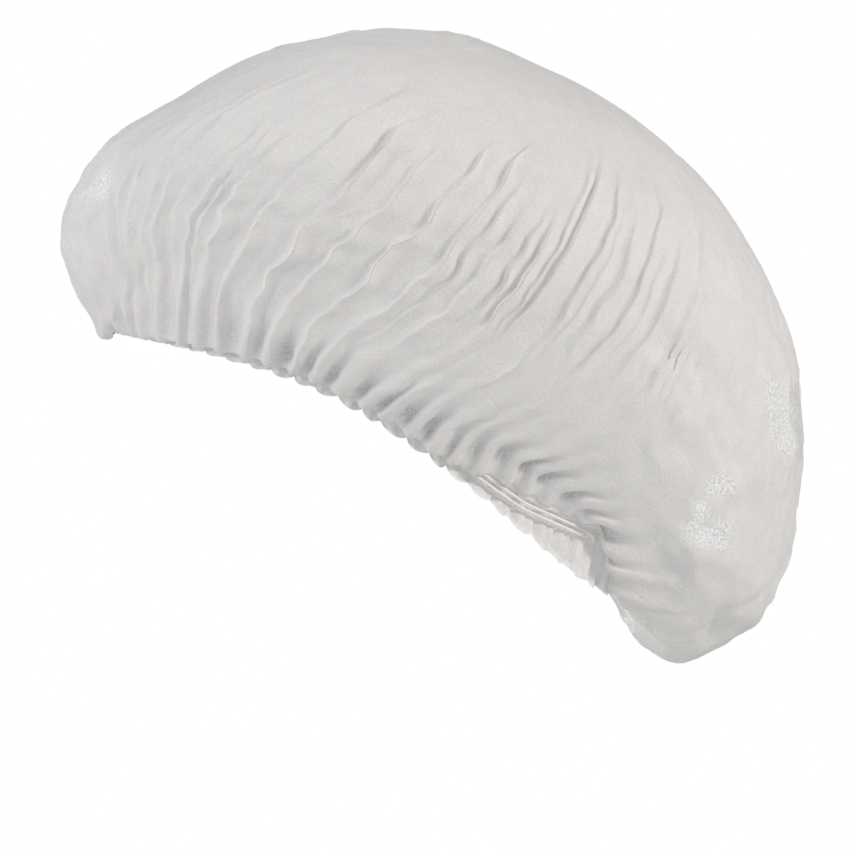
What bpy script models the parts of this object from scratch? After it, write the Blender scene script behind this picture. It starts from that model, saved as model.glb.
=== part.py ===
"""A disposable hair cover cap: one round sheet of nonwoven cloth, gathered on two elastic threads.

Lengths are in metres. The brow faces -Y, the wearer's left is +X and +Z is up. The origin is the centre of
the ring that the elastic makes, where the cap sits.
"""

import math
import random

import bmesh
import bpy
from mathutils import Vector

# Driving sizes of the worn cap
CAP_LENGTH = 0.2316
CAP_HEIGHT = 0.1956
CAP_WIDTH = 0.186

# The ring that the elastic makes on the head, lower at the nape than at the brow
RING_LENGTH = 0.1768
RING_WIDTH = 0.150
RING_TILT = math.radians(24.2)
TEMPLE_ARCH = 0.0125
TEMPLE_ARCH_END = 0.76
TEMPLE_ARCH_POWER = 1.2
RING_SQUARENESS = 0.92
EGG_SHAPE = 0.06

# How square the crown's sides rise over the line from brow to nape, low down and at the top
SIDE_ARCH_LOW = 5.5
SIDE_ARCH_HIGH = 2.0

# The cloth and its gathers
CLOTH_WALL = 0.001
GATHER_COUNT = 60
GATHER_DEPTH = 0.0022
GATHER_LEAN = 0.068
LEAN_EVENNESS = 0.35
LEAN_HEIGHT = 8
CHANNEL_HEIGHT = 0.0040
CHANNEL_GATHER = 0.0006
ROLL_IN = 0.0038
ROLL_OUT = 0.0062
ROLL_GATHER = 0.0010
ROLL_DROP = 0.0030
ROLL_LIFTS_AT = 0.60
ROLL_LIFTED_AT = 0.74
RUFFLE_AT_BROW = 0.0030
RUFFLE_AT_NAPE = 0.0130
RUFFLE_WIDENS_AT = 0.66
RUFFLE_WIDE_AT = 0.94
RUFFLE_FLARE = 0.16
RUFFLE_WAVE = 0.0022
RUFFLE_SCALLOP = 0.10
PUFF_HEIGHT = 0.006

# The two elastic threads, side by side in the channel, twisted once round each other at each ear
THREAD_DIAMETER = 0.0010
THREAD_SPACING = 0.0018
THREAD_CLEARANCE = 0.0003
THREAD_STATIONS = 72
TWIST_PLACES = (0.385, 0.615)
TWIST_SHARE = 0.03
TWIST_STATIONS = 8

# Mesh density: columns of the lower cloth and of the top, rows between two sections
LOWER_COLUMNS = 2 * GATHER_COUNT
TOP_COLUMNS = GATHER_COUNT
LOWER_STEP = 0.75
TOP_STEP = 0.7
TOP_START = 7.5
RANDOM_SEED = 11

# Sections of the crown from the hem up. Brow and nape are the ends of each ring in the side view: y in shares
# of the cap's length, z in shares of its height. The side rises above the line between them by a share of the
# height, and the half width is a share of the cap's width. The gather is a share of the gather depth.
SECTION_COLUMNS = ("brow_y", "brow_z", "nape_y", "nape_z", "half_width", "side_rise", "gather")
SECTIONS = (
    (-0.380, 0.170, 0.372, -0.292, 0.444, 0.146, 0.65),
    (-0.402, 0.180, 0.416, -0.338, 0.462, 0.212, 0.95),
    (-0.418, 0.239, 0.484, -0.292, 0.477, 0.211, 0.90),
    (-0.432, 0.303, 0.528, -0.212, 0.488, 0.203, 0.80),
    (-0.430, 0.364, 0.549, -0.098, 0.495, 0.179, 0.65),
    (-0.398, 0.436, 0.554, 0.036, 0.492, 0.146, 0.45),
    (-0.348, 0.497, 0.538, 0.179, 0.466, 0.113, 0.25),
    (-0.276, 0.552, 0.493, 0.295, 0.418, 0.082, 0.10),
    (-0.187, 0.610, 0.424, 0.414, 0.339, 0.051, 0.0),
    (-0.094, 0.639, 0.317, 0.525, 0.237, 0.022, 0.0),
    (-0.019, 0.656, 0.190, 0.607, 0.124, 0.006, 0.0),
)
APEX_Y = 0.078
APEX_Z = 0.654

# Puffs and dents of the loose cloth: place round the cap from the brow over the left side, section number,
# how far they reach both ways, and height as a share of the puff height
PUFF_COLUMNS = ("around", "section", "reach_around", "reach_sections", "height")
PUFFS = (
    (0.03, 5.5, 0.05, 1.2, 0.1),
    (0.10, 3.6, 0.05, 1.3, -0.7),
    (0.94, 4.4, 0.05, 1.5, 0.4),
    (0.90, 7.6, 0.06, 1.2, -0.4),
    (0.20, 8.6, 0.08, 1.2, -0.3),
    (0.30, 6.4, 0.08, 1.4, 0.3),
    (0.44, 3.2, 0.05, 1.3, -0.7),
    (0.47, 5.4, 0.04, 0.8, -0.5),
    (0.56, 2.4, 0.06, 1.3, 0.9),
    (0.56, 6.6, 0.05, 1.4, 0.4),
    (0.64, 4.6, 0.06, 1.5, -0.6),
    (0.72, 7.2, 0.07, 1.4, 0.4),
    (0.80, 3.8, 0.08, 1.6, -0.4),
)

CLOTH_COLOUR = (0.80, 0.80, 0.81)
ELASTIC_COLOUR = (0.86, 0.86, 0.85)

RING_FORWARD = Vector((0.0, math.cos(RING_TILT), -math.sin(RING_TILT)))
RING_UP = Vector((0.0, math.sin(RING_TILT), math.cos(RING_TILT)))
HEM_ROWS = 7


def clear_scene():
    """Remove the objects that the file starts with."""
    for thing in list(bpy.data.objects):
        bpy.data.objects.remove(thing, do_unlink=True)


def signed_power(value, power):
    """The power of a value's size, with its sign kept."""
    return math.copysign(abs(value) ** power, value)


def smooth_step(value):
    """0 below 0 and 1 above 1, with a smooth rise between."""
    value = min(max(value, 0.0), 1.0)
    return value * value * (3 - 2 * value)


def temple_arch(along):
    """How much of the hem's arch over the temple there is at this share of its length from the brow."""
    return math.sin(math.pi * min(max(along / TEMPLE_ARCH_END, 0.0), 1.0)) ** TEMPLE_ARCH_POWER


def side_arch(along, height):
    """How much of a section's rise there is at this share of its length: flat-topped low down, round above."""
    power = SIDE_ARCH_LOW + (SIDE_ARCH_HIGH - SIDE_ARCH_LOW) * min(height / len(SECTIONS), 1.0)
    return 1 - abs(1 - 2 * along) ** power


def oval(around):
    """(share of the length from the brow, share of the half width) at this place round the cap."""
    angle = 2 * math.pi * around
    along = (1 - signed_power(math.cos(angle), RING_SQUARENESS)) / 2
    aside = signed_power(math.sin(angle), RING_SQUARENESS) * (1 + EGG_SHAPE * (2 * along - 1))
    return along, aside


def leaned(around, height):
    """The place round the cap that a gather has drifted to, towards the nape, this many sections up."""
    angle = 2 * math.pi * around
    drift = GATHER_LEAN * min(height / LEAN_HEIGHT, 1.0)
    return around + drift * math.sin(angle) * (1 + LEAN_EVENNESS * math.cos(angle) ** 2)


def ring_point(around):
    """The point of the elastic's ring at this place round the cap."""
    along, aside = oval(around)
    point = RING_FORWARD * (RING_LENGTH * (along - 0.5))
    return point + Vector((aside * RING_WIDTH / 2, 0.0, TEMPLE_ARCH * temple_arch(along)))


def hem_point(around, up, out):
    """The ring's point moved up across the hem's line and out, away from the head."""
    step = 1e-4
    tangent = ring_point(around + step) - ring_point(around - step)
    outward = tangent.cross(RING_UP).normalized()
    upward = outward.cross(tangent).normalized()
    return ring_point(around) + upward * up + outward * out


def section_point(around, height):
    """The point of the crown's section of this number, counted from the hem up."""
    section = dict(zip(SECTION_COLUMNS, SECTIONS[height - 1]))
    along, aside = oval(around)
    brow = Vector((0.0, section["brow_y"] * CAP_LENGTH, section["brow_z"] * CAP_HEIGHT))
    nape = Vector((0.0, section["nape_y"] * CAP_LENGTH, section["nape_z"] * CAP_HEIGHT))
    point = brow.lerp(nape, along)
    point.x = aside * section["half_width"] * CAP_WIDTH
    point.z += section["side_rise"] * CAP_HEIGHT * side_arch(along, height)
    return point


def ruffle_width(around):
    """The ruffle's width, which grows from the brow to the nape."""
    along, _ = oval(around)
    share = smooth_step((along - RUFFLE_WIDENS_AT) / (RUFFLE_WIDE_AT - RUFFLE_WIDENS_AT))
    return RUFFLE_AT_BROW + (RUFFLE_AT_NAPE - RUFFLE_AT_BROW) * share


def roll_drop(around):
    """How far the crown's lowest roll hangs over the threads: all the way at the front, not at all at the back."""
    along, _ = oval(around)
    return ROLL_DROP * (1 - smooth_step((along - ROLL_LIFTS_AT) / (ROLL_LIFTED_AT - ROLL_LIFTS_AT)))


def column(around, crest):
    """The points of one line of the cloth, from the ruffle's free edge to the apex. A crest of 1 is the top of a
    gather, -1 its bottom and 0 the middle of the cloth."""
    half = CHANNEL_HEIGHT / 2
    width = ruffle_width(around) * (1 + RUFFLE_SCALLOP * crest)
    flare = RUFFLE_FLARE * math.sin(2 * math.pi * around) ** 2
    points = [
        hem_point(around, -half - width * share, flare * width * share + RUFFLE_WAVE * crest * share)
        for share in (1.0, 0.5)
    ]
    points.append(hem_point(around, -half, CHANNEL_GATHER * crest))
    points.append(hem_point(around, half, CHANNEL_GATHER * crest))
    points.append(hem_point(around, half, ROLL_IN + ROLL_GATHER * crest))
    low = half * 0.7 - roll_drop(around)
    points.append(hem_point(around, low, ROLL_IN + ROLL_GATHER * crest))
    points.append(hem_point(around, low, ROLL_OUT + ROLL_GATHER * crest))
    for height in range(1, len(SECTIONS) + 1):
        points.append(section_point(leaned(around, height), height))
    points.append(Vector((0.0, APEX_Y * CAP_LENGTH, APEX_Z * CAP_HEIGHT)))
    return points


def along_column(points, place):
    """The point at this place on a smooth line through a column's points, with whole numbers at the points."""
    last = len(points) - 1
    first = min(int(place), last - 1)
    share = place - first
    before = points[max(first - 1, 0)]
    start = points[first]
    end = points[first + 1]
    after = points[min(first + 2, last)]
    span = (end - start).length
    slope_in = (end - before) * (span / max((end - start).length + (start - before).length, 1e-9))
    slope_out = (after - start) * (span / max((after - end).length + span, 1e-9))
    return (
        start * (2 * share**3 - 3 * share**2 + 1)
        + slope_in * (share**3 - 2 * share**2 + share)
        + end * (3 * share**2 - 2 * share**3)
        + slope_out * (share**3 - share**2)
    )


def puff(around, height):
    """How far the loose cloth stands out or in at this place, this many sections up."""
    total = 0.0
    for row in PUFFS:
        place = dict(zip(PUFF_COLUMNS, row))
        apart = (around - place["around"] + 0.5) % 1.0 - 0.5
        far = (apart / place["reach_around"]) ** 2 + ((height - place["section"]) / place["reach_sections"]) ** 2
        total += place["height"] * math.exp(-far)
    return PUFF_HEIGHT * total


def gather_depth(height):
    """The gather's depth this many sections up, read off the sections' table."""
    depths = [ROLL_GATHER / GATHER_DEPTH] + [row[-1] for row in SECTIONS] + [0.0]
    first = min(max(int(height), 0), len(depths) - 2)
    share = min(max(height - first, 0.0), 1.0)
    return GATHER_DEPTH * (depths[first] * (1 - share) + depths[first + 1] * share)


def crown_point(around, height, crest):
    """The point of the crown this many sections above the hem, with its gather and its puffs."""
    place = HEM_ROWS - 1 + height
    point = along_column(column(around, crest), place)
    if height <= 0:
        return point
    step = 0.004
    across = along_column(column(around + step, 0), place) - along_column(column(around - step, 0), place)
    rising = along_column(column(around, 0), place + step * 10)
    rising -= along_column(column(around, 0), max(place - step * 10, 0.0))
    outward = across.cross(rising).normalized()
    return point + outward * (crest * gather_depth(height) + puff(leaned(around, height), height))


def hem_row_point(around, row, crest):
    """The point of one of the hem's rows, from the ruffle's free edge up to the channel's top."""
    return column(around, crest)[row]


def spread(start, end, step):
    """Even places from start to end, with about this step between them."""
    count = max(1, round((end - start) / step))
    return [start + (end - start) * number / count for number in range(count + 1)]


def cloth_mesh():
    """The outer face of the cloth: rings of points from the ruffle's edge to the apex, joined into quads."""
    chance = random.Random(RANDOM_SEED)
    depth = [chance.uniform(0.65, 1.25) for _ in range(GATHER_COUNT)]
    shift = [chance.uniform(-0.18, 0.18) for _ in range(LOWER_COLUMNS)]
    mesh = bmesh.new()
    rings = []
    for row in range(HEM_ROWS - 1):
        rings.append(ring_of(mesh, LOWER_COLUMNS, depth, shift, lambda a, c, r=row: hem_row_point(a, r, c)))
    top = len(SECTIONS) + 1
    for height in spread(0.0, TOP_START, LOWER_STEP):
        rings.append(ring_of(mesh, LOWER_COLUMNS, depth, shift, lambda a, c, h=height: crown_point(a, h, c)))
    for height in spread(TOP_START, top, TOP_STEP)[1:-1]:
        rings.append(ring_of(mesh, TOP_COLUMNS, depth, shift, lambda a, c, h=height: crown_point(a, h, 0)))
    for lower, upper in zip(rings, rings[1:]):
        join_rings(mesh, lower, upper)
    apex = mesh.verts.new(Vector((0.0, APEX_Y * CAP_LENGTH, APEX_Z * CAP_HEIGHT)))
    last = rings[-1]
    for number, vertex in enumerate(last):
        mesh.faces.new((vertex, last[(number + 1) % len(last)], apex))
    return mesh


def ring_of(mesh, count, depth, shift, point_at):
    """One ring of points. Odd columns are crests and even ones the bottoms between them."""
    ring = []
    for number in range(count):
        if count == LOWER_COLUMNS:
            crest = depth[number // 2] * (1 if number % 2 else -1)
            around = (number + shift[number]) / count
        else:
            crest = 0.0
            around = (number + 0.5) / count
        ring.append(mesh.verts.new(point_at(around, crest)))
    return ring


def join_rings(mesh, lower, upper):
    """Join two rings of equal count by quads, or one with half as many points by three triangles a pair."""
    count = len(lower)
    if len(upper) == count:
        for number in range(count):
            after = (number + 1) % count
            mesh.faces.new((lower[number], lower[after], upper[after], upper[number]))
        return
    half = len(upper)
    for number in range(half):
        after = (number + 1) % half
        left, middle, right = lower[2 * number], lower[2 * number + 1], lower[(2 * number + 2) % count]
        mesh.faces.new((left, middle, upper[number]))
        mesh.faces.new((middle, right, upper[number]))
        mesh.faces.new((right, upper[after], upper[number]))


def new_material(name, colour, roughness):
    """A plain material of one colour."""
    material = bpy.data.materials.new(name)
    material.use_nodes = True
    shader = material.node_tree.nodes["Principled BSDF"]
    shader.inputs["Base Color"].default_value = (*colour, 1.0)
    shader.inputs["Roughness"].default_value = roughness
    shader.inputs["Metallic"].default_value = 0.0
    return material


def build_cloth(collection, material):
    """The crown with its gathered hem and ruffle: an open surface thickened inwards to the cloth's wall."""
    mesh = cloth_mesh()
    data = bpy.data.meshes.new("crown_with_ruffle")
    mesh.to_mesh(data)
    mesh.free()
    data.materials.append(material)
    for face in data.polygons:
        face.use_smooth = True
    cloth = bpy.data.objects.new("crown_with_ruffle", data)
    collection.objects.link(cloth)
    wall = cloth.modifiers.new("cloth wall", "SOLIDIFY")
    wall.thickness = CLOTH_WALL
    wall.offset = -1.0
    wall.use_even_offset = False
    return cloth


def thread_places():
    """Places round the ring for a thread's points: even ones, and closer ones where the threads twist."""
    places = set(number / THREAD_STATIONS for number in range(THREAD_STATIONS))
    for middle in TWIST_PLACES:
        places = {place for place in places if abs(place - middle) > TWIST_SHARE / 2}
        for number in range(TWIST_STATIONS + 1):
            places.add(middle + TWIST_SHARE * (number / TWIST_STATIONS - 0.5))
    return sorted(places)


def thread_point(around, side):
    """The middle of a thread: side 1 is the upper one and -1 the lower one."""
    turn = sum(smooth_step((around - middle) / TWIST_SHARE + 0.5) for middle in TWIST_PLACES)
    angle = 2 * math.pi * turn
    half = THREAD_SPACING / 2
    seat = CHANNEL_GATHER * 1.25 + THREAD_CLEARANCE + THREAD_DIAMETER / 2
    up = side * half * math.cos(angle)
    out = seat + half * (abs(math.sin(angle)) + side * math.sin(angle))
    return hem_point(around, up, out)


def build_thread(collection, material, name, side):
    """One closed loop of elastic thread."""
    data = bpy.data.curves.new(name, "CURVE")
    data.dimensions = "3D"
    data.bevel_depth = THREAD_DIAMETER / 2
    data.bevel_resolution = 1
    data.use_fill_caps = True
    places = thread_places()
    line = data.splines.new("POLY")
    line.points.add(len(places) - 1)
    for knot, place in zip(line.points, places):
        knot.co = (*thread_point(place, side), 1.0)
    line.use_cyclic_u = True
    line.use_smooth = True
    data.materials.append(material)
    thread = bpy.data.objects.new(name, data)
    collection.objects.link(thread)
    return thread


def main():
    """Build the cap."""
    clear_scene()
    collection = bpy.data.collections.new("hair_cover_cap")
    bpy.context.scene.collection.children.link(collection)
    cloth = new_material("nonwoven_cloth", CLOTH_COLOUR, 0.85)
    elastic = new_material("elastic_thread", ELASTIC_COLOUR, 0.55)
    build_cloth(collection, cloth)
    build_thread(collection, elastic, "elastic_thread_upper", 1)
    build_thread(collection, elastic, "elastic_thread_lower", -1)


main()
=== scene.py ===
"""The looks of a disposable hair cover cap: a gathered sheet of white nonwoven cloth on two elastic threads.

Lengths are in metres. The brow faces -Y, the wearer's left is +X and +Z is up. The origin is the centre of
the ring that the elastic makes.
"""

import logging
import math
from dataclasses import dataclass, field
from enum import Enum

import bpy
import numpy as np
from bpy.types import Node as ShaderNode
from bpy.types import NodeSocket, NodeTree
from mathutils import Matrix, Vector

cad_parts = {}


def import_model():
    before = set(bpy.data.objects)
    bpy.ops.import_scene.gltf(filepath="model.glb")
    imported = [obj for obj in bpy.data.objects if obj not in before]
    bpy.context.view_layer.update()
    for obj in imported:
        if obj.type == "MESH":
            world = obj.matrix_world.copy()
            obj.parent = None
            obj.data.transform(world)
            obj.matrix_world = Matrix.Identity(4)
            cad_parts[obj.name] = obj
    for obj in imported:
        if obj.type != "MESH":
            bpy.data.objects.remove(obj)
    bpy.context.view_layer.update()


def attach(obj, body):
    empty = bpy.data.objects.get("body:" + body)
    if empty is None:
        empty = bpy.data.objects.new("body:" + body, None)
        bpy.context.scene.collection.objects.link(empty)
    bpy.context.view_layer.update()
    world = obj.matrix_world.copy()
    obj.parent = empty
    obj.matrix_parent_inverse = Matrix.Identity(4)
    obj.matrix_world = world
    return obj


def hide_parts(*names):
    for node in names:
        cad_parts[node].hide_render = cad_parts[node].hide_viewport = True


LOG = logging.getLogger("hair_cover_cap")
MILLIMETRE = 0.001
FULL_TURN = 2 * math.pi
# The point attribute that carries the painted shade of the hollows above the elastic
PAINTED_SHADE = "painted_hollow_shade"
SHEERNESS = "sheerness"
MULTIPLY_ADD = {"operation": "MULTIPLY_ADD"}
MIX_COLOURS = {"data_type": "RGBA"}
SMOOTH_EDGE = {"interpolation_type": "SMOOTHSTEP"}
# Turns the facets' grid away from the cap's axes, and gives the direction that it is bent in
FACET_TURN = np.array([[0.80, 0.36, -0.48], [-0.60, 0.48, -0.64], [0.0, 0.80, 0.60]])
FACET_BEND = np.array([0.5, -0.6, 0.6])


class Slot(Enum):
    """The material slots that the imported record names."""

    CLOTH = "nonwoven_cloth"
    ELASTIC = "elastic_thread"


class Node(Enum):
    """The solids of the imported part."""

    CLOTH = "crown_with_ruffle"
    UPPER_THREAD = "elastic_thread_upper"
    LOWER_THREAD = "elastic_thread_lower"


def linear_colour(code: str) -> tuple[float, float, float, float]:
    """Turn an sRGB hex code into a linear colour.

    Args:
        code: The colour as "#RRGGBB".

    Returns:
        Red, green, blue and alpha, from 0 to 1.
    """
    parts = [int(code[place : place + 2], 16) / 255 for place in (1, 3, 5)]
    linear = [part / 12.92 if part <= 0.04045 else ((part + 0.055) / 1.055) ** 2.4 for part in parts]
    return (linear[0], linear[1], linear[2], 1.0)


def add_node(
    tree: NodeTree,
    kind: str,
    settings: dict[str, object] | None = None,
    inputs: dict[str | int, object] | None = None,
) -> ShaderNode:
    """Add one shader node with its settings and links.

    Args:
        tree: The node tree that takes it.
        kind: The node's type name.
        settings: Attributes of the node by name.
        inputs: Values by socket name or number. A socket, or a node's first one, is linked. All else is set.

    Returns:
        The new node.
    """
    node = tree.nodes.new(kind)
    for name, value in (settings or {}).items():
        setattr(node, name, value)
    for name, value in (inputs or {}).items():
        if isinstance(value, ShaderNode):
            value = value.outputs[0]
        if isinstance(value, NodeSocket):
            tree.links.new(value, node.inputs[name])
        else:
            node.inputs[name].default_value = value
    return node


def smooth_step(value: np.ndarray) -> np.ndarray:
    """0 below 0 and 1 above 1, with a smooth rise between."""
    value = np.clip(value, 0.0, 1.0)
    return value * value * (3 - 2 * value)


def signed_power(value: np.ndarray, power: float) -> np.ndarray:
    """The power of each value's size, with its sign kept."""
    return np.sign(value) * np.abs(value) ** power


def unit(vectors: np.ndarray) -> np.ndarray:
    """The vectors at length 1."""
    return vectors / np.maximum(np.linalg.norm(vectors, axis=-1, keepdims=True), 1e-12)


@dataclass(frozen=True)
class Ramp:
    """A smooth change along the cloth: its start, its length, and the values before and beyond it."""

    start: float
    span: float
    before: float = 0.0
    beyond: float = 1.0

    def at(self, place: np.ndarray) -> np.ndarray:
        """The value at each place."""
        return self.before + (self.beyond - self.before) * smooth_step((place - self.start) / self.span)


@dataclass(frozen=True)
class Push:
    """A soft push on the smooth cloth: its middle and reach, round the cap and up it, and its shift."""

    turn: float
    turn_reach: float
    section: float
    section_reach: float
    shift: tuple[float, float, float]

    def at(self, turns: np.ndarray, height: np.ndarray) -> np.ndarray:
        """How far it moves each point along x, y and z."""
        away = np.hypot((turns - self.turn) / self.turn_reach, (height - self.section) / self.section_reach)
        return np.exp(-(away**2))[..., None] * np.array(self.shift)


class SeededNoise:
    """Smooth noise in space, between about -1 and 1, the same for the same seed."""

    def __init__(self, seed: int) -> None:
        """Draw the noise's directions and heights.

        Args:
            seed: The number that sets what is drawn.
        """
        chance = np.random.default_rng(seed)
        self.order = np.tile(chance.permutation(256), 3)
        self.directions = unit(chance.normal(size=(256, 3)))
        self.heights = chance.uniform(-1, 1, 256)

    def at(self, points: np.ndarray, cell: float) -> np.ndarray:
        """The noise at these points.

        Args:
            points: Places, with x, y and z in the last axis.
            cell: The size of one cell of the noise.

        Returns:
            One value for each point.
        """
        scaled = points / cell
        corner = np.floor(scaled).astype(int)
        inside = scaled - corner
        fade = inside**3 * (inside * (inside * 6 - 15) + 10)
        total = np.zeros(points.shape[:-1])
        for number in range(8):
            step = np.array([number & 1, (number >> 1) & 1, (number >> 2) & 1])
            place = corner + step
            dot = np.sum(self.directions[self.pick(place)] * (inside - step), axis=-1)
            share = np.prod(np.where(step == 1, fade, 1 - fade), axis=-1)
            total += share * dot
        return total * 1.6

    def pick(self, place: np.ndarray) -> np.ndarray:
        """The number drawn for each of these corners of the noise's grid."""
        low = place & 255
        return self.order[self.order[self.order[low[..., 0]] + low[..., 1]] + low[..., 2]]

    def faceted(self, points: np.ndarray, cell: float) -> np.ndarray:
        """Random heights joined by flat triangles with straight creases, as stiff crumpled cloth has.

        Args:
            points: Places, with x, y and z in the last axis.
            cell: The size of one cell of the noise.

        Returns:
            One value for each point, between -1 and 1.
        """
        scaled = points / cell
        place = np.floor(scaled).astype(int)
        inside = scaled - place
        largest_first = np.argsort(-inside, axis=-1)
        ordered = np.take_along_axis(inside, largest_first, axis=-1)
        one = np.ones_like(ordered[..., :1])
        ends = np.concatenate([one, ordered, 0 * one], axis=-1)
        total = np.zeros(points.shape[:-1])
        for number in range(4):
            total += (ends[..., number] - ends[..., number + 1]) * self.heights[self.pick(place)]
            if number < 3:
                place = place + (np.arange(3) == largest_first[..., number : number + 1])
        return total


@dataclass(frozen=True)
class Ripple:
    """Noise that joins up round the cap: its cells round it and up each section, its level and its size."""

    cells_round: float
    cells_up: float
    level: float
    size: float

    def at(self, noise: SeededNoise, turns: np.ndarray, height: np.ndarray) -> np.ndarray:
        """Read the noise on a circle at each height.

        Args:
            noise: The noise that it reads.
            turns: Places round the cap.
            height: Sections up the crown.

        Returns:
            One value for each place.
        """
        radius = self.cells_round / FULL_TURN
        angle, level = np.broadcast_arrays(FULL_TURN * turns, height * self.cells_up + self.level)
        points = np.stack([radius * np.cos(angle), radius * np.sin(angle), level], axis=-1)
        return self.size * noise.at(points, 1.0)


class Draw(Enum):
    """What each gather draws at random: its number among the seeds, and its lowest and highest value."""

    FOLD_HEIGHT = (1, 0.7, 1.4)
    CREASE_DEPTH = (2, -0.8, 1.4)
    FOLD_START = (3, -0.6, 0.6)
    FOLD_END = (4, 5.9, 8.4)
    HOLLOW_DEPTH = (5, 0.65, 1.1)
    LOBE_HEIGHT = (6, 0.4, 1.5)
    FLUTE_SHIFT = (8, 0.0, 0.4)


@dataclass(frozen=True)
class CapForm:
    """The smooth form of the worn cap, from the ruffle's free edge over the hem to the top."""

    length: float = 0.2316
    height: float = 0.1956
    width: float = 0.186
    ring_length: float = 0.1768
    ring_width: float = 0.150
    ring_tilt: float = math.radians(24.2)
    temple_arch: float = 0.0125
    temple_arch_end: float = 0.76
    temple_arch_power: float = 1.2
    ring_squareness: float = 0.92
    egg_shape: float = 0.06
    side_arch_low: float = 5.5
    side_arch_high: float = 2.0
    gather_lean: float = 0.068
    lean_height: float = 8.0
    lean_evenness: float = 0.35
    channel_height: float = 0.0040
    roll_in: float = 0.0024
    roll_out: float = 0.0040
    roll_drop: float = 0.0042
    # By the share of the way from the brow to the nape
    roll_lifts: Ramp = Ramp(0.60, 0.14)
    roll_falls: Ramp = Ramp(0.90, 0.08, 1.0, 0.0)
    roll_raise: float = 0.0022
    roll_flattens: float = 0.5
    roll_seat: float = 0.7
    ruffle_at_brow: float = 0.0026
    ruffle_full: Ramp = Ramp(0.0, 0.30, 0.1, 1.0)
    ruffle_at_nape: float = 0.0112
    ruffle_widens: Ramp = Ramp(0.69, 0.25)
    ruffle_flare: float = 0.35
    # The pouch at the nape sags: under the ruffle on the far side, and over its end on the near side
    pouch: tuple[Push, ...] = (
        Push(0.56, 0.075, 1.5, 0.9, (0.0, -0.0125, -0.003)),
        Push(0.43, 0.04, 0.9, 0.75, (0.007, -0.009, -0.003)),
    )
    # The cloth faces out from the head in the hem, and from its own surface once in the crown
    crown_from: Ramp = Ramp(-0.1, 0.9)
    apex_y: float = 0.078
    apex_z: float = 0.654
    # Sections from the hem up, in shares of the cap: brow y, brow z, nape y, nape z, half width and side rise
    sections: tuple[tuple[float, ...], ...] = (
        (-0.380, 0.170, 0.372, -0.292, 0.444, 0.146),
        (-0.390, 0.186, 0.416, -0.338, 0.462, 0.212),
        (-0.418, 0.239, 0.484, -0.292, 0.477, 0.211),
        (-0.432, 0.303, 0.528, -0.212, 0.488, 0.203),
        (-0.430, 0.364, 0.549, -0.098, 0.495, 0.179),
        (-0.398, 0.436, 0.554, 0.036, 0.492, 0.146),
        (-0.348, 0.497, 0.538, 0.179, 0.466, 0.113),
        (-0.276, 0.552, 0.493, 0.295, 0.418, 0.082),
        (-0.187, 0.610, 0.424, 0.414, 0.339, 0.051),
        (-0.094, 0.639, 0.317, 0.525, 0.237, 0.022),
        (-0.019, 0.656, 0.190, 0.607, 0.124, 0.006),
    )
    # Rows of the hem below the crown: the ruffle's edge and middle, the channel's two and the roll's three
    hem_rows: int = 7

    @property
    def last_place(self) -> int:
        """The place number of the top of the cap."""
        return self.hem_rows + len(self.sections)

    def oval(self, around: np.ndarray) -> tuple[np.ndarray, np.ndarray]:
        """The elastic's egg-shaped ring.

        Args:
            around: Places round the cap.

        Returns:
            Shares of the length from the brow, and shares of the half width.
        """
        angle = FULL_TURN * around
        along = (1 - signed_power(np.cos(angle), self.ring_squareness)) / 2
        aside = signed_power(np.sin(angle), self.ring_squareness) * (1 + self.egg_shape * (2 * along - 1))
        return along, aside

    def leaned(self, around: np.ndarray, height: float) -> np.ndarray:
        """Drift the gathers towards the nape.

        Args:
            around: Places round the cap where they start.
            height: Sections up the crown.

        Returns:
            Places round the cap where they are then.
        """
        angle = FULL_TURN * around
        drift = self.gather_lean * min(height / self.lean_height, 1.0)
        return around + drift * np.sin(angle) * (1 + self.lean_evenness * np.cos(angle) ** 2)

    def ring_points(self, around: np.ndarray) -> np.ndarray:
        """The line of the elastic's ring, arched over the temples.

        Args:
            around: Places round the cap.

        Returns:
            Points on the ring.
        """
        along, aside = self.oval(around)
        arch = np.sin(math.pi * np.clip(along / self.temple_arch_end, 0, 1)) ** self.temple_arch_power
        forward = self.ring_length * (along - 0.5)
        return np.stack(
            [
                aside * self.ring_width / 2,
                forward * math.cos(self.ring_tilt),
                self.temple_arch * arch - forward * math.sin(self.ring_tilt),
            ],
            axis=-1,
        )

    def hem_points(self, around: np.ndarray, up: np.ndarray, out: np.ndarray) -> np.ndarray:
        """The ring's points moved up across the hem's line and out from the head.

        Args:
            around: Places round the cap.
            up: How far up each point moves.
            out: How far out each point moves.

        Returns:
            The moved points.
        """
        step = 1e-4
        tangent = self.ring_points(around + step) - self.ring_points(around - step)
        ring_up = np.array([0.0, math.sin(self.ring_tilt), math.cos(self.ring_tilt)])
        outward = unit(np.cross(tangent, ring_up))
        upward = unit(np.cross(outward, tangent))
        moved = upward * np.asarray(up)[..., None] + outward * np.asarray(out)[..., None]
        return self.ring_points(around) + moved

    def section_points(self, around: np.ndarray, number: int) -> np.ndarray:
        """One section of the crown.

        Args:
            around: Places round the cap.
            number: The section's number, from the hem up.

        Returns:
            Points on the section.
        """
        brow_y, brow_z, nape_y, nape_z, half_width, side_rise = self.sections[number - 1]
        along, aside = self.oval(around)
        drop = self.side_arch_high - self.side_arch_low
        power = self.side_arch_low + drop * min(number / len(self.sections), 1.0)
        arch = 1 - np.abs(1 - 2 * along) ** power
        rise = side_rise * self.height * arch
        return np.stack(
            [
                aside * half_width * self.width,
                (brow_y + (nape_y - brow_y) * along) * self.length,
                (brow_z + (nape_z - brow_z) * along) * self.height + rise,
            ],
            axis=-1,
        )

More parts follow.
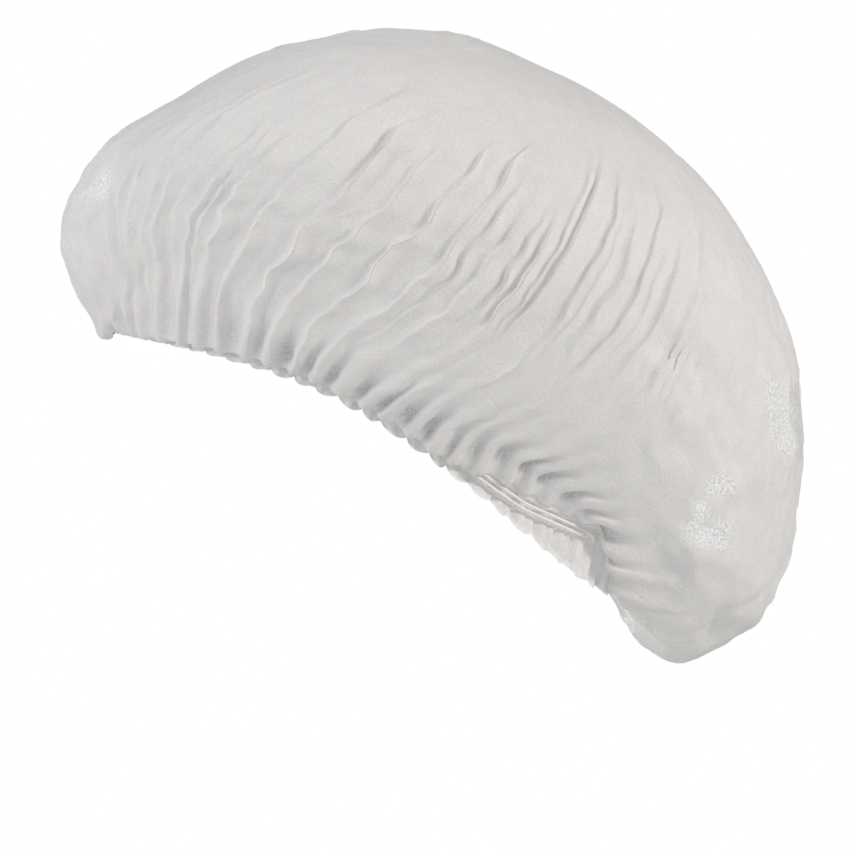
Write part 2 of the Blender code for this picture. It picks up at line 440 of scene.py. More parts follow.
    def ruffle_width(self, around: np.ndarray) -> np.ndarray:
        """The ruffle's width, which grows from the brow to the nape.

        Args:
            around: Places round the cap.

        Returns:
            Widths.
        """
        along, _ = self.oval(around)
        wider = (self.ruffle_at_nape - self.ruffle_at_brow) * self.ruffle_widens.at(along)
        return self.ruffle_at_brow * self.ruffle_full.at(along) + wider

    def lifted(self, around: np.ndarray) -> np.ndarray:
        """How much the roll lifts off the elastic at these places, from 0 to 1."""
        along, _ = self.oval(around)
        return self.roll_lifts.at(along) * self.roll_falls.at(along)

    def hem_profile(self, number: int, around: np.ndarray) -> tuple[np.ndarray, np.ndarray]:
        """How far up and out from the elastic's line one of the hem's control lines lies.

        Args:
            number: The line's number, from the ruffle's free edge up.
            around: Places round the cap.

        Returns:
            Distances up and out.
        """
        half = self.channel_height / 2
        width = self.ruffle_width(around)
        flare = self.ruffle_flare * np.sin(FULL_TURN * around) ** 2
        lifted = self.lifted(around)
        low = half * self.roll_seat - self.roll_drop * (1 - lifted) + self.roll_raise * lifted
        slim = 1 - self.roll_flattens * lifted
        none = np.zeros_like(around)
        lines = (
            (-half - width, flare * width),
            (-half - width / 2, flare * width / 2),
            (none - half, none),
            (none + half, none),
            (none + half, self.roll_in * slim),
            (low, self.roll_in * slim),
            (low, self.roll_out * slim),
        )
        return lines[number]

    def control_line(self, number: int, around: np.ndarray) -> np.ndarray:
        """One of the lines round the cap that the cloth passes through, from the free edge to the top.

        Args:
            number: The line's number.
            around: Places round the cap where the gathers start.

        Returns:
            One point for each place.
        """
        if number < self.hem_rows:
            return self.hem_points(around, *self.hem_profile(number, around))
        if number < self.last_place:
            section = number - self.hem_rows + 1
            return self.section_points(self.leaned(around, section), section)
        apex = np.array([0.0, self.apex_y * self.length, self.apex_z * self.height])
        return np.broadcast_to(apex, (*around.shape, 3))

    def surface(self, places: np.ndarray, turns: np.ndarray) -> np.ndarray:
        """The cloth's smooth surface, on a grid of places up the cloth and places round it.

        Args:
            places: Places up the cloth, with whole numbers at its control lines.
            turns: Places round the cap, a row of them for each place up the cloth.

        Returns:
            An array of points, one row for each place up the cloth.
        """
        rows = []
        for place, around in zip(places, turns):
            first = min(int(place), self.last_place - 1)
            share = place - first
            picks = (max(first - 1, 0), first, first + 1, min(first + 2, self.last_place))
            before, start, end, after = (self.control_line(pick, around) for pick in picks)
            span = np.linalg.norm(end - start, axis=-1, keepdims=True)
            span_before = np.linalg.norm(start - before, axis=-1, keepdims=True)
            span_after = np.linalg.norm(after - end, axis=-1, keepdims=True)
            slope_in = (end - before) * (span / np.maximum(span + span_before, 1e-9))
            slope_out = (after - start) * (span / np.maximum(span + span_after, 1e-9))
            rows.append(
                start * (2 * share**3 - 3 * share**2 + 1)
                + slope_in * (share**3 - 2 * share**2 + share)
                + end * (3 * share**2 - 2 * share**3)
                + slope_out * (share**3 - share**2)
            )
        height = places[:, None] - (self.hem_rows - 1)
        return np.stack(rows) + sum(push.at(turns, height) for push in self.pouch)

    def hem_out(self, turns: np.ndarray) -> np.ndarray:
        """The direction out from the head, across the elastic.

        Args:
            turns: Places round the cap, in rows.

        Returns:
            One direction for each place.
        """
        line = turns.ravel()
        moved = self.hem_points(line, np.zeros_like(line), np.ones_like(line)) - self.ring_points(line)
        return moved.reshape(*turns.shape, 3)


@dataclass(frozen=True)
class SpunbondPolypropylene:
    """White spunbonded polypropylene, 18 grams a square metre: fine filaments laid at random and joined by a
    calender's heated points. The web is cloudy, with thick and thin places and pinholes, and light comes
    through it, so it looks soft, matt and a little see-through."""

    sheet_size: float = 0.457
    thick_white: str = "#FFFFFF"
    thin_white: str = "#F4F4F6"
    # Painted shade: grey put into the colour of the hollows above the elastic, for the shadow seen through
    # the cloth drawn thin there
    painted_shade_grey: str = "#C8C8CA"
    ior: float = 1.49
    roughness: float = 0.78
    sheen: float = 0.12
    passes_light: float = 0.30
    cloud_size: float = 7 * MILLIMETRE
    # Filaments are 0.02 mm thick, far too fine to show, so bundles of them are drawn 0.4 mm wide
    bundle_width: float = 0.4 * MILLIMETRE
    bundle_length: float = 3 * MILLIMETRE
    bundle_turns: tuple[float, ...] = (20.0, 80.0, 140.0)
    bundle_share: float = 0.5
    # The calender's points are 0.8 mm apart. They are drawn 1 mm apart, as that is what the render can show
    bond_pitch: float = 1.0 * MILLIMETRE
    bond_turn: float = 45.0
    bond_unevenness: float = 0.75
    bond_edge: tuple[float, float] = (0.18, 0.42)
    bond_dent: float = -0.25
    grain_size: float = 0.9 * MILLIMETRE
    grain_share: float = 0.9
    bump_height: float = 0.20 * MILLIMETRE
    bump_strength: float = 0.6
    # Where the grain's noise turns into speckles of the hollows' painted shade and gaps of sheer cloth, and
    # their least
    speckle_edge: tuple[float, float] = (0.3, 0.6)
    speckle_least: float = 0.2
    gap_edge: tuple[float, float] = (0.4, 0.6)
    gap_least: float = 0.15
    open_cloth: float = 0.07
    open_bonds: float = 0.14
    open_sheer: float = 0.75
    # Sharp creases from the cap's folded packing, some 0.6 mm wide
    crease_sizes: tuple[float, ...] = (30 * MILLIMETRE, 15 * MILLIMETRE)
    crease_share: float = 0.02
    crease_height: float = 0.07 * MILLIMETRE
    crease_strength: float = 0.7

    def material(self) -> bpy.types.Material:
        """Make the cloth's material, whose patterns lie on the flat sheet that the cap is cut from.

        Returns:
            The material.
        """
        material = bpy.data.materials.new(Slot.CLOTH.value)
        material.use_nodes = True
        tree = material.node_tree
        tree.nodes.clear()
        chart = add_node(tree, "ShaderNodeUVMap", {"uv_map": "OFBake"})
        flat = add_node(tree, "ShaderNodeMapping", inputs={"Vector": chart, "Scale": (self.sheet_size,) * 3})
        clouds = self.noise(tree, flat, self.cloud_size, detail=3.0)
        grain = self.noise(tree, flat, self.grain_size, detail=2.0)
        bonds = self.bonds(tree, flat)
        parts = {0: self.bundles(tree, flat), 1: self.bundle_share, 2: clouds}
        weight = add_node(tree, "ShaderNodeMath", MULTIPLY_ADD, parts)
        colour = self.colour(tree, weight, grain)
        rough = add_node(tree, "ShaderNodeMath", MULTIPLY_ADD, {0: grain, 1: self.grain_share, 2: weight})
        relief = add_node(tree, "ShaderNodeMath", MULTIPLY_ADD, {0: bonds, 1: self.bond_dent, 2: rough})
        parts = {"Strength": self.crease_strength, "Distance": self.crease_height}
        creased = add_node(tree, "ShaderNodeBump", inputs={**parts, "Height": self.creases(tree)})
        parts = {"Strength": self.bump_strength, "Distance": self.bump_height, "Height": relief}
        bump = add_node(tree, "ShaderNodeBump", inputs={**parts, "Normal": creased})
        parts = {"Roughness": self.roughness, "IOR": self.ior, "Sheen Weight": self.sheen}
        parts = {**parts, "Base Color": colour, "Normal": bump}
        face = add_node(tree, "ShaderNodeBsdfPrincipled", inputs=parts)
        glow = add_node(tree, "ShaderNodeBsdfTranslucent", inputs={"Color": colour, "Normal": bump})
        cloth = add_node(tree, "ShaderNodeMixShader", inputs={"Fac": self.passes_light, 1: face, 2: glow})
        hole = add_node(tree, "ShaderNodeBsdfTransparent")
        parts = {"Fac": self.open_share(tree, bonds, grain), 1: cloth, 2: hole}
        surface = add_node(tree, "ShaderNodeMixShader", inputs=parts)
        add_node(tree, "ShaderNodeOutputMaterial", inputs={"Surface": surface})
        return material

    def colour(self, tree: NodeTree, weight: ShaderNode, grain: ShaderNode) -> NodeSocket:
        """Add the cloth's colour, whiter where it is thick, with speckles of grey painted shade in the
        hollows above the elastic.

        Args:
            tree: The material's nodes.
            weight: How thick the web is.
            grain: The noise of the speckles.

        Returns:
            The colour.
        """
        whites = {"Factor": weight, 6: linear_colour(self.thin_white), 7: linear_colour(self.thick_white)}
        white = add_node(tree, "ShaderNodeMix", MIX_COLOURS, whites).outputs[2]
        # Painted shade: the hollows' mask turns the colour towards grey, standing in for the shadow behind
        # the thin cloth
        painted_shade_mask = add_node(tree, "ShaderNodeAttribute", {"attribute_name": PAINTED_SHADE}).outputs["Fac"]
        low, high = self.speckle_edge
        parts = {"Value": grain, "From Min": low, "From Max": high, "To Min": self.speckle_least}
        speckles = add_node(tree, "ShaderNodeMapRange", inputs=parts)
        settings = {"operation": "MULTIPLY", "use_clamp": True}
        shadow = add_node(tree, "ShaderNodeMath", settings, {0: painted_shade_mask, 1: speckles})
        parts = {"Factor": shadow, 6: white, 7: linear_colour(self.painted_shade_grey)}
        return add_node(tree, "ShaderNodeMix", MIX_COLOURS, parts).outputs[2]

    def open_share(self, tree: NodeTree, bonds: ShaderNode, grain: ShaderNode) -> ShaderNode:
        """Add the share of open pores: more in the bond points, and most in the gaps of the sheer facets.

        Args:
            tree: The material's nodes.
            bonds: 1 in each bond point.
            grain: The noise of the gaps.

        Returns:
            The share.
        """
        pores = {"Value": bonds, "To Min": self.open_cloth, "To Max": self.open_bonds}
        pored = add_node(tree, "ShaderNodeMapRange", inputs=pores)
        sheer = add_node(tree, "ShaderNodeAttribute", {"attribute_name": SHEERNESS}).outputs["Fac"]
        low, high = self.gap_edge
        parts = {"Value": grain, "From Min": low, "From Max": high, "To Min": self.gap_least}
        gaps = add_node(tree, "ShaderNodeMapRange", inputs={**parts, "To Max": self.open_sheer})
        settings = {**MULTIPLY_ADD, "use_clamp": True}
        return add_node(tree, "ShaderNodeMath", settings, {0: sheer, 1: gaps, 2: pored})

    def noise(self, tree: NodeTree, place: ShaderNode, size: float, detail: float) -> ShaderNode:
        """Add noise of this grain size over the sheet."""
        parts = {"Vector": place, "Scale": 1 / size, "Detail": detail, "Roughness": 0.55}
        return add_node(tree, "ShaderNodeTexNoise", {"noise_dimensions": "2D"}, parts)

    def creases(self, tree: NodeTree) -> ShaderNode:
        """Add the thin creases, which run where noise in space crosses its middle.

        Args:
            tree: The material's nodes.

        Returns:
            The creases' height, raised for the first size and sunk for the second.
        """
        place = add_node(tree, "ShaderNodeTexCoord").outputs["Object"]
        lines = []
        for size in self.crease_sizes:
            parts = {"Vector": place, "Scale": 1 / size, "Detail": 0.0, "Distortion": 0.0}
            value = add_node(tree, "ShaderNodeTexNoise", inputs=parts)
            above = add_node(tree, "ShaderNodeMath", {"operation": "SUBTRACT"}, {0: value, 1: 0.5})
            away = add_node(tree, "ShaderNodeMath", {"operation": "ABSOLUTE"}, {0: above})
            parts = {"Value": away, "From Max": self.crease_share, "To Min": 1.0, "To Max": 0.0}
            lines.append(add_node(tree, "ShaderNodeMapRange", SMOOTH_EDGE, parts))
        raised, sunk = lines
        return add_node(tree, "ShaderNodeMath", {"operation": "SUBTRACT"}, {0: raised, 1: sunk})

    def bundles(self, tree: NodeTree, flat: ShaderNode) -> ShaderNode:
        """Add bundles of filaments that cross in three directions.

        Args:
            tree: The material's nodes.
            flat: Places on the flat sheet.

        Returns:
            The thickest bundle at each place.
        """
        found = None
        slim = (1.0, self.bundle_width / self.bundle_length, 1.0)
        for turn in self.bundle_turns:
            parts = {"Vector": flat, "Rotation": (0.0, 0.0, math.radians(turn)), "Scale": slim}
            turned = add_node(tree, "ShaderNodeMapping", inputs=parts)
            streak = self.noise(tree, turned, self.bundle_width, detail=1.0)
            if found is None:
                found = streak
            else:
                found = add_node(tree, "ShaderNodeMath", {"operation": "MAXIMUM"}, {0: found, 1: streak})
        return found

    def bonds(self, tree: NodeTree, flat: ShaderNode) -> ShaderNode:
        """Add the calender's bond points, on a slanting grid.

        Args:
            tree: The material's nodes.
            flat: Places on the flat sheet.

        Returns:
            1 in each point and 0 between.
        """
        parts = {"Vector": flat, "Rotation": (0.0, 0.0, math.radians(self.bond_turn))}
        turned = add_node(tree, "ShaderNodeMapping", inputs=parts)
        parts = {"Vector": turned, "Scale": 1 / self.bond_pitch, "Randomness": self.bond_unevenness}
        cells = add_node(tree, "ShaderNodeTexVoronoi", {"voronoi_dimensions": "2D"}, parts)
        low, high = self.bond_edge
        parts = {"Value": cells, "From Min": low, "From Max": high, "To Min": 1.0, "To Max": 0.0}
        return add_node(tree, "ShaderNodeMapRange", SMOOTH_EDGE, parts)


@dataclass(frozen=True)
class CoveredElastic:
    """White covered elastic: a rubber core wound with crimped polyester yarn, which gives a matt thread with
    fine slanting ribs."""

    # The fuzz noise sets the colour: partly the yarn's random tone, partly painted shade that greys the
    # bump's grooves
    crest_white: str = "#FFFFFF"
    fuzz_tone_and_groove_shade_white: str = "#F4F3F0"
    ior: float = 1.54
    roughness: float = 0.62
    sheen: float = 0.2
    # Single filaments of the yarn are too fine to show, so they are drawn 0.15 mm wide
    filament_width: float = 0.15 * MILLIMETRE
    bump_strength: float = 0.5

    def material(self) -> bpy.types.Material:
        """Make the thread's material.

        Returns:
            The material.
        """
        material = bpy.data.materials.new(Slot.ELASTIC.value)
        material.use_nodes = True
        tree = material.node_tree
        tree.nodes.clear()
        place = add_node(tree, "ShaderNodeTexCoord").outputs["Object"]
        parts = {"Vector": place, "Scale": 1 / self.filament_width, "Detail": 2.0}
        fuzz = add_node(tree, "ShaderNodeTexNoise", inputs=parts)
        # Painted shade: the colour is greyer where the fuzz bump is low, besides the yarn's random tone
        parts = {"Factor": fuzz, 6: linear_colour(self.fuzz_tone_and_groove_shade_white), 7: linear_colour(self.crest_white)}
        colour = add_node(tree, "ShaderNodeMix", MIX_COLOURS, parts).outputs[2]
        parts = {"Strength": self.bump_strength, "Distance": self.filament_width, "Height": fuzz}
        bump = add_node(tree, "ShaderNodeBump", inputs=parts)
        parts = {"Roughness": self.roughness, "IOR": self.ior, "Sheen Weight": self.sheen}
        parts = {**parts, "Base Color": colour, "Normal": bump}
        yarn = add_node(tree, "ShaderNodeBsdfPrincipled", inputs=parts)
        add_node(tree, "ShaderNodeOutputMaterial", inputs={"Surface": yarn})
        return material


@dataclass
class GatheredCloth:
    """The cap's one sheet of cloth: ruffle, gathered channel, roll and crown, with its folds and creases.

    Each gather has the same number of columns of the mesh, and the columns wander with the folds, so that
    folds run along the mesh's edges. Heights are counted in the crown's sections, from 0 at the hem's top."""

    form: CapForm
    finish: SpunbondPolypropylene
    sheet_size: float = 0.457
    gathers: int = 66
    columns_a_gather: int = 12
    crowding: float = 0.5
    ruffle_rows: int = 14
    channel_rows: int = 6
    roll_rows: int = 4
    crown_step: float = 1.32 * MILLIMETRE
    top_step: float = 2.5 * MILLIMETRE
    top_section: int = 6
    # Sections up the crown where the columns are halved, once at each
    halved_at: tuple[float, ...] = (7.4, 9.6)
    # How gathers stray, in shares of one: at the elastic, then slowly and quickly as they climb
    uneven: Ripple = Ripple(50, 0.0, 0.0, 0.35)
    slow_wander: Ripple = Ripple(9, 0.3, 20.0, 0.4)
    slow_grows: Ramp = Ramp(0.0, 3.0)
    quick_wander: Ripple = Ripple(70, 1.6, 40.0, 0.2)
    quick_grows: Ramp = Ramp(0.0, 1.5)
    # The crown's folds and finer creases, which start higher and end sooner towards the nape
    fold_height: float = 1.15 * MILLIMETRE
    crease_depth: float = 0.6 * MILLIMETRE
    crease_narrowing: float = 1.6
    fold_start: Ramp = Ramp(0.316, 0.215, 0.3, 3.6)
    fold_fade: float = 1.6
    fold_shortened: Ramp = Ramp(0.25, 0.5, 0.0, 0.6)
    # Strength by the share of the way from the brow to the nape
    side_strength: Ramp = Ramp(0.25, 0.5, 1.8, 0.6)
    brow_strength: Ramp = Ramp(0.11, 0.17, 0.3, 1.0)
    nape_strength: Ramp = Ramp(0.64, 0.16, 1.0, 0.15)
    # Strength by height
    hem_strength: Ramp = Ramp(0.0, 0.8)
    crown_strength: Ramp = Ramp(2.0, 3.0, 0.8, 1.7)
    top_strength: Ramp = Ramp(8.0, 2.5, 1.0, 0.0)
    patch_middle: float = 0.95
    patches: Ripple = Ripple(26, 0.8, 60.0, 0.4)
    swell: Ramp = Ramp(1.5, 5.0, 0.25 * MILLIMETRE, 0.0)
    wrinkles: Ripple = Ripple(230, 1.3, 80.0, 0.22 * MILLIMETRE)
    # A fold's shape in gathers: how fast it rises and falls, and the groove before it
    fold_rise: float = 0.09
    fold_fall: float = 0.34
    groove_depth: float = 0.38
    groove_place: float = -0.18
    groove_width: float = 0.10
    # The pleats above the elastic and the hollows between them
    hem_depth: float = 1.2 * MILLIMETRE
    pleat_edge: Ramp = Ramp(0.16, 0.24)
    pleat_middle: float = 0.4
    pleats_from: Ramp = Ramp(-3.2, 1.2)
    pleats_to: Ramp = Ramp(0.9, 1.6, 1.0, 0.0)
    pleats_at_nape: Ramp = Ramp(0.86, 0.08, 1.0, 0.35)
    hollow_depth: float = 1.8 * MILLIMETRE
    hollow_middle: float = 0.5
    hollow_rise: float = 0.45
    hollow_reach_down: float = 0.36
    hollow_reach_up: float = 0.60
    hollow_edge: Ramp = Ramp(0.12, 0.22, 1.0, 0.0)
    hollows_at_brow: Ramp = Ramp(0.2, 0.12, 0.3, 1.0)
    hollows_at_nape: Ramp = Ramp(0.86, 0.08, 1.0, 0.4)
    roll_scallop: float = 0.6 * MILLIMETRE
    roll_from: Ramp = Ramp(-2.6, 1.2)
    roll_to: Ramp = Ramp(0.1, 0.7, 1.0, 0.0)
    # The ruffle's lobes and flutes, by rows and by the ruffle's share of its full width
    ruffle_wave: float = 2.4 * MILLIMETRE
    ruffle_to: Ramp = Ramp(1.4, 1.0, 1.0, 0.0)
    ruffle_held: float = 0.35
    lobe_roundness: float = 2.4
    lobe_middle: float = 0.55
    lobe_heights: tuple[float, float] = (0.5, 1.3)
    flute_heights: tuple[float, float] = (0.15, 0.55)
    scallop_depths: tuple[float, float] = (1.44 * MILLIMETRE, 2.72 * MILLIMETRE)
    lip: Ramp = Ramp(0.0, 0.4, 0.5 * MILLIMETRE, 0.0)
    fine_gather: float = 0.35 * MILLIMETRE
    fine_stray: Ripple = Ripple(130, 0.0, 0.0, 0.8)
    channel_middle: float = 2.4
    channel_reach: float = 1.1
    # Crumples of the puffs, by place forwards or up in metres, and slight ones elsewhere
    crumple_height: float = 1.7 * MILLIMETRE
    crumple_size: float = 14 * MILLIMETRE
    brow_puff: Ramp = Ramp(0.052, 0.032, 0.0, 0.7)
    nape_puff: Ramp = Ramp(0.060, 0.035)
    nape_puff_top: Ramp = Ramp(0.01, 0.05, 1.0, 0.4)
    top_puff: Ramp = Ramp(0.112, 0.012, 0.0, 0.5)
    crumples_from: Ramp = Ramp(-0.5, 2.0)
    soft_share: float = 0.18
    facet_share: float = 0.05
    facet_sizes: tuple[float, ...] = (0.85, 0.55, 0.35)
    facet_bend: float = 0.35
    # Shares of the facets' depth in the weakest and the strongest patches
    facet_patches: tuple[float, float] = (0.2, 1.5)
    sheer_border: float = 1.2 * MILLIMETRE
    sheer_ragged: float = 2.2 * MILLIMETRE
    sheer_ragged_size: float = 6 * MILLIMETRE
    sheer_beyond: float = 3 * MILLIMETRE
    # The puffs' very front and back have no such facets
    sheer_from: float = 16 * MILLIMETRE
    # From this far away, in metres, a near facet lies before its far one
    sheer_lined_up: float = 2.6
    # Facets of the puffs that are one layer thick and seen through: y and z of each triangle's corners
    sheer_facets: tuple[tuple[float, ...], ...] = (
        (0.102, -0.005, 0.107, -0.015, 0.098, -0.016),
        (0.090, -0.030, 0.098, -0.014, 0.100, -0.023),
        (0.090, -0.030, 0.100, -0.023, 0.105, -0.032),
        (0.100, -0.023, 0.107, -0.023, 0.105, -0.032),
        (0.117, 0.020, 0.134, 0.019, 0.120, -0.001),
        (0.134, 0.019, 0.134, -0.009, 0.120, -0.001),
        (0.076, -0.052, 0.083, -0.058, 0.074, -0.056),
        (-0.095, 0.077, -0.086, 0.087, -0.087, 0.077),
    )
    seed: int = 7
    noise: SeededNoise = field(init=False)

    def __post_init__(self) -> None:
        """Draw the noise that the folds and creases follow."""
        self.noise = SeededNoise(self.seed)

    @property
    def columns(self) -> int:
        """The mesh's columns round the cap."""
        return self.gathers * self.columns_a_gather

    def places(self) -> np.ndarray:
        """Space the mesh's rows, closer where the cloth bends sharply.

        Returns:
            The rows' places up the cloth.
        """
        marks = [np.linspace(0, 2, self.ruffle_rows, endpoint=False)]
        marks.append(np.linspace(2, 3, self.channel_rows, endpoint=False))
        for first in range(3, self.form.hem_rows - 1):
            marks.append(np.linspace(first, first + 1, self.roll_rows, endpoint=False))
        side = np.array([0.25])
        for first in range(self.form.hem_rows - 1, self.form.last_place):
            ends = [self.form.control_line(number, side) for number in (first, first + 1)]
            step = self.crown_step if first < self.form.hem_rows + self.top_section else self.top_step
            count = max(3, round(float(np.linalg.norm(ends[1] - ends[0])) / step))
            marks.append(np.linspace(first, first + 1, count, endpoint=False))
        return np.concatenate(marks)

    def along(self) -> np.ndarray:
        """Space the mesh's columns, crowded where a gather's fold and crease lie.

        Returns:
            Their shares of the way round the elastic.
        """
        even = np.arange(self.columns) / self.columns
        waves = 2 * self.gathers * FULL_TURN
        return even - self.crowding * np.sin(waves * even) / waves

    def turns(self, height: np.ndarray) -> np.ndarray:
        """The columns' places round the cap in each row. Gathers are uneven, and wander as they climb.

        Args:
            height: Sections up the crown, one for each row.

        Returns:
            An array of places, one row for each height.
        """
        along = self.along()[None, :]
        slow = self.slow_grows.at(height) * self.slow_wander.at(self.noise, along, height)
        quick = self.quick_grows.at(height) * self.quick_wander.at(self.noise, along, height)
        moved = along + (self.uneven.at(self.noise, along, height) + slow + quick) / self.gathers
        table = np.linspace(0, 1, 4001)
        steps = np.linalg.norm(np.diff(self.form.ring_points(table), axis=0), axis=-1)
        walked = np.concatenate([[0.0], np.cumsum(steps)]) / steps.sum()
        whole = np.floor(moved)
        return whole + np.interp(moved - whole, walked, table)

    def build(self) -> bpy.types.Object:
        """Build the cloth's mesh and dress it.

        Returns:
            The cloth.
        """
        places = self.places()
        height = places[:, None] - (self.form.hem_rows - 1)
        turns = self.turns(height)
        smooth = self.form.surface(places, turns)
        shaped = self.shape(smooth, places, turns)
        # The first mark sets the hollows' painted shade, the second the sheer facets' see-through gaps
        marks = np.stack([self.hollows(height, turns), self.sheer(smooth)], axis=-1)
        points, faces, chart, marks = self.join(shaped, smooth, places, marks)
        mesh = bpy.data.meshes.new("gathered_cloth")
        mesh.from_pydata(points.tolist(), [], faces)
        layer = mesh.uv_layers.new(name="OFBake")
        corners = np.zeros(len(mesh.loops), int)
        mesh.loops.foreach_get("vertex_index", corners)
        layer.data.foreach_set("uv", chart[corners].astype(np.float32).ravel())
        # Store the marks on the points: the hollows' painted shade, and the sheerness
        for number, name in enumerate((PAINTED_SHADE, SHEERNESS)):
            mark = mesh.attributes.new(name, "FLOAT", "POINT")
            mark.data.foreach_set("value", marks[:, number].astype(np.float32))
        mesh.shade_smooth()
        mesh.materials.append(self.finish.material())
        cloth = bpy.data.objects.new("gathered_cloth", mesh)
        bpy.context.scene.collection.objects.link(cloth)
        return cloth

    def shape(self, smooth: np.ndarray, places: np.ndarray, turns: np.ndarray) -> np.ndarray:
        """Fold and crease the smooth surface.

        Args:
            smooth: The grid of points of the smooth surface.
            places: The rows' places up the cloth.
            turns: The columns' places round the cap, in each row.

        Returns:
            The grid of folded points.
        """
        rows = places[:, None]
        height = rows - (self.form.hem_rows - 1)
        hem_lift, hem_drop = self.hem_folds(height, turns)
        ruffle_lift, ruffle_drop = self.ruffle_flutes(rows, turns)
        lift = self.crown_folds(height, turns) + hem_lift + ruffle_lift
        in_crown = self.form.crown_from.at(height)[..., None]
        out = unit(self.outward(smooth) * in_crown + self.form.hem_out(turns) * (1 - in_crown))
        down = np.array([0.0, -math.sin(self.form.ring_tilt), -math.cos(self.form.ring_tilt)])
        folded = smooth + out * lift[..., None] + down * (hem_drop + ruffle_drop)[..., None]
        return folded + self.outward(folded) * self.crumples(smooth, height)[..., None]

    def outward(self, grid: np.ndarray) -> np.ndarray:
        """The outward direction at each point of a grid."""
        across = np.roll(grid, -1, axis=1) - np.roll(grid, 1, axis=1)
        return unit(np.cross(across, np.gradient(grid, axis=0)))

    def gather(self) -> tuple[np.ndarray, np.ndarray]:
        """Find the gather that each column is in.

        Returns:
            Its number, and the column's place in it from -0.5 to 0.5.
        """
        phase = self.gathers * self.along()
        number = np.arange(self.columns) // self.columns_a_gather
        return number, phase - number - 0.5

    def drawn(self, draw: Draw) -> np.ndarray:
        """One random number for each gather."""
        salt, low, high = draw.value
        return np.random.default_rng(self.seed + salt).uniform(low, high, self.gathers)

    def crown_folds(self, height: np.ndarray, turns: np.ndarray) -> np.ndarray:
        """The crown's folds: each rises steeply on the brow's side, after a groove, and falls away slowly.

        Args:
            height: Sections up the crown, below 0 in the hem.
            turns: Places round the cap.

        Returns:
            Distances outwards.
        """
        number, inside = self.gather()
        fold, begins, ends = (self.drawn(draw) for draw in (Draw.FOLD_HEIGHT, Draw.FOLD_START, Draw.FOLD_END))
        crease = self.drawn(Draw.CREASE_DEPTH).clip(0.0)
        from_brow = (1 - np.cos(FULL_TURN * turns)) / 2
        sooner = self.fold_shortened.at(from_brow)
        folds = np.zeros_like(turns)
        creases = np.zeros_like(turns)
        for step in (-1, 0, 1):
            which = (number + step) % self.gathers
            start = begins[which] + self.fold_start.at(from_brow)
            shown = smooth_step((height - start) / self.fold_fade + 0.5)
            shown = shown * (1 - smooth_step((height - ends[which] + sooner) / self.fold_fade + 0.5))
            folds += fold[which] * shown * self.fold_profile(inside - step - 0.5)
            creases += crease[which] * shown * self.fold_profile(self.crease_narrowing * (inside - step))
        along = self.along()[None, :]
        lift = folds * self.fold_height + creases * self.crease_depth
        lift *= self.side_strength.at(from_brow) * self.brow_strength.at(from_brow)
        lift -= np.cos(FULL_TURN * inside) * self.swell.at(height)
        lift += self.wrinkles.at(self.noise, along, height)
        patches = self.patch_middle + self.patches.at(self.noise, along, height)
        strength = self.nape_strength.at(from_brow)
        for ramp in (self.hem_strength, self.crown_strength, self.top_strength):
            strength = strength * ramp.at(height)
        return lift * patches * strength

    def fold_profile(self, away: np.ndarray) -> np.ndarray:
        """A fold's cross-section.

        Args:
            away: Distances from its crest in gathers, counted towards the nape.

        Returns:
            Heights, 1 at the crest and below 0 in the groove.
        """
        groove = self.groove_depth * np.exp(-(((away - self.groove_place) / self.groove_width) ** 2))
        before = np.exp(np.minimum(away, 0) / self.fold_rise) - groove
        return np.where(away < 0, before, np.exp(-np.maximum(away, 0) / self.fold_fall))

    def hollows(self, height: np.ndarray, turns: np.ndarray) -> np.ndarray:
        """How much each point lies in a hollow above the elastic, where the cloth is drawn thin; this sinks
        the hollow and sets its painted shade.

        Args:
            height: Sections up the crown, below 0 in the hem.
            turns: Places round the cap.

        Returns:
            Shares from 0 to about 1.
        """
        number, inside = self.gather()
        away = height - self.hollow_middle - self.hollow_rise * self.form.lifted(turns)
        reach = np.where(away < 0, self.hollow_reach_down, self.hollow_reach_up)
        along, _ = self.form.oval(turns)
        shown = self.hollows_at_brow.at(along) * self.hollows_at_nape.at(along)
        across = self.hollow_edge.at(np.abs(inside)) * self.drawn(Draw.HOLLOW_DEPTH)[number]
        return np.exp(-((away / reach) ** 2)) * shown * across

    def hem_folds(self, height: np.ndarray, turns: np.ndarray) -> tuple[np.ndarray, np.ndarray]:
        """The gathers just above the elastic: raised pleats that reach down, with deep soft hollows between.

        Args:
            height: Sections up the crown, below 0 in the hem.
            turns: Places round the cap.

        Returns:
            Distances outwards and down.
        """
        _, inside = self.gather()
        along, _ = self.form.oval(turns)
        pleat = self.pleat_edge.at(np.abs(inside))
        low = self.pleats_from.at(height) * self.pleats_to.at(height) * self.pleats_at_nape.at(along)
        lift = low * (pleat - self.pleat_middle) * self.hem_depth
        lift -= self.hollows(height, turns) * self.hollow_depth
        in_roll = self.roll_from.at(height) * self.roll_to.at(height)
        return lift, in_roll * (2 * pleat - 1) * self.roll_scallop

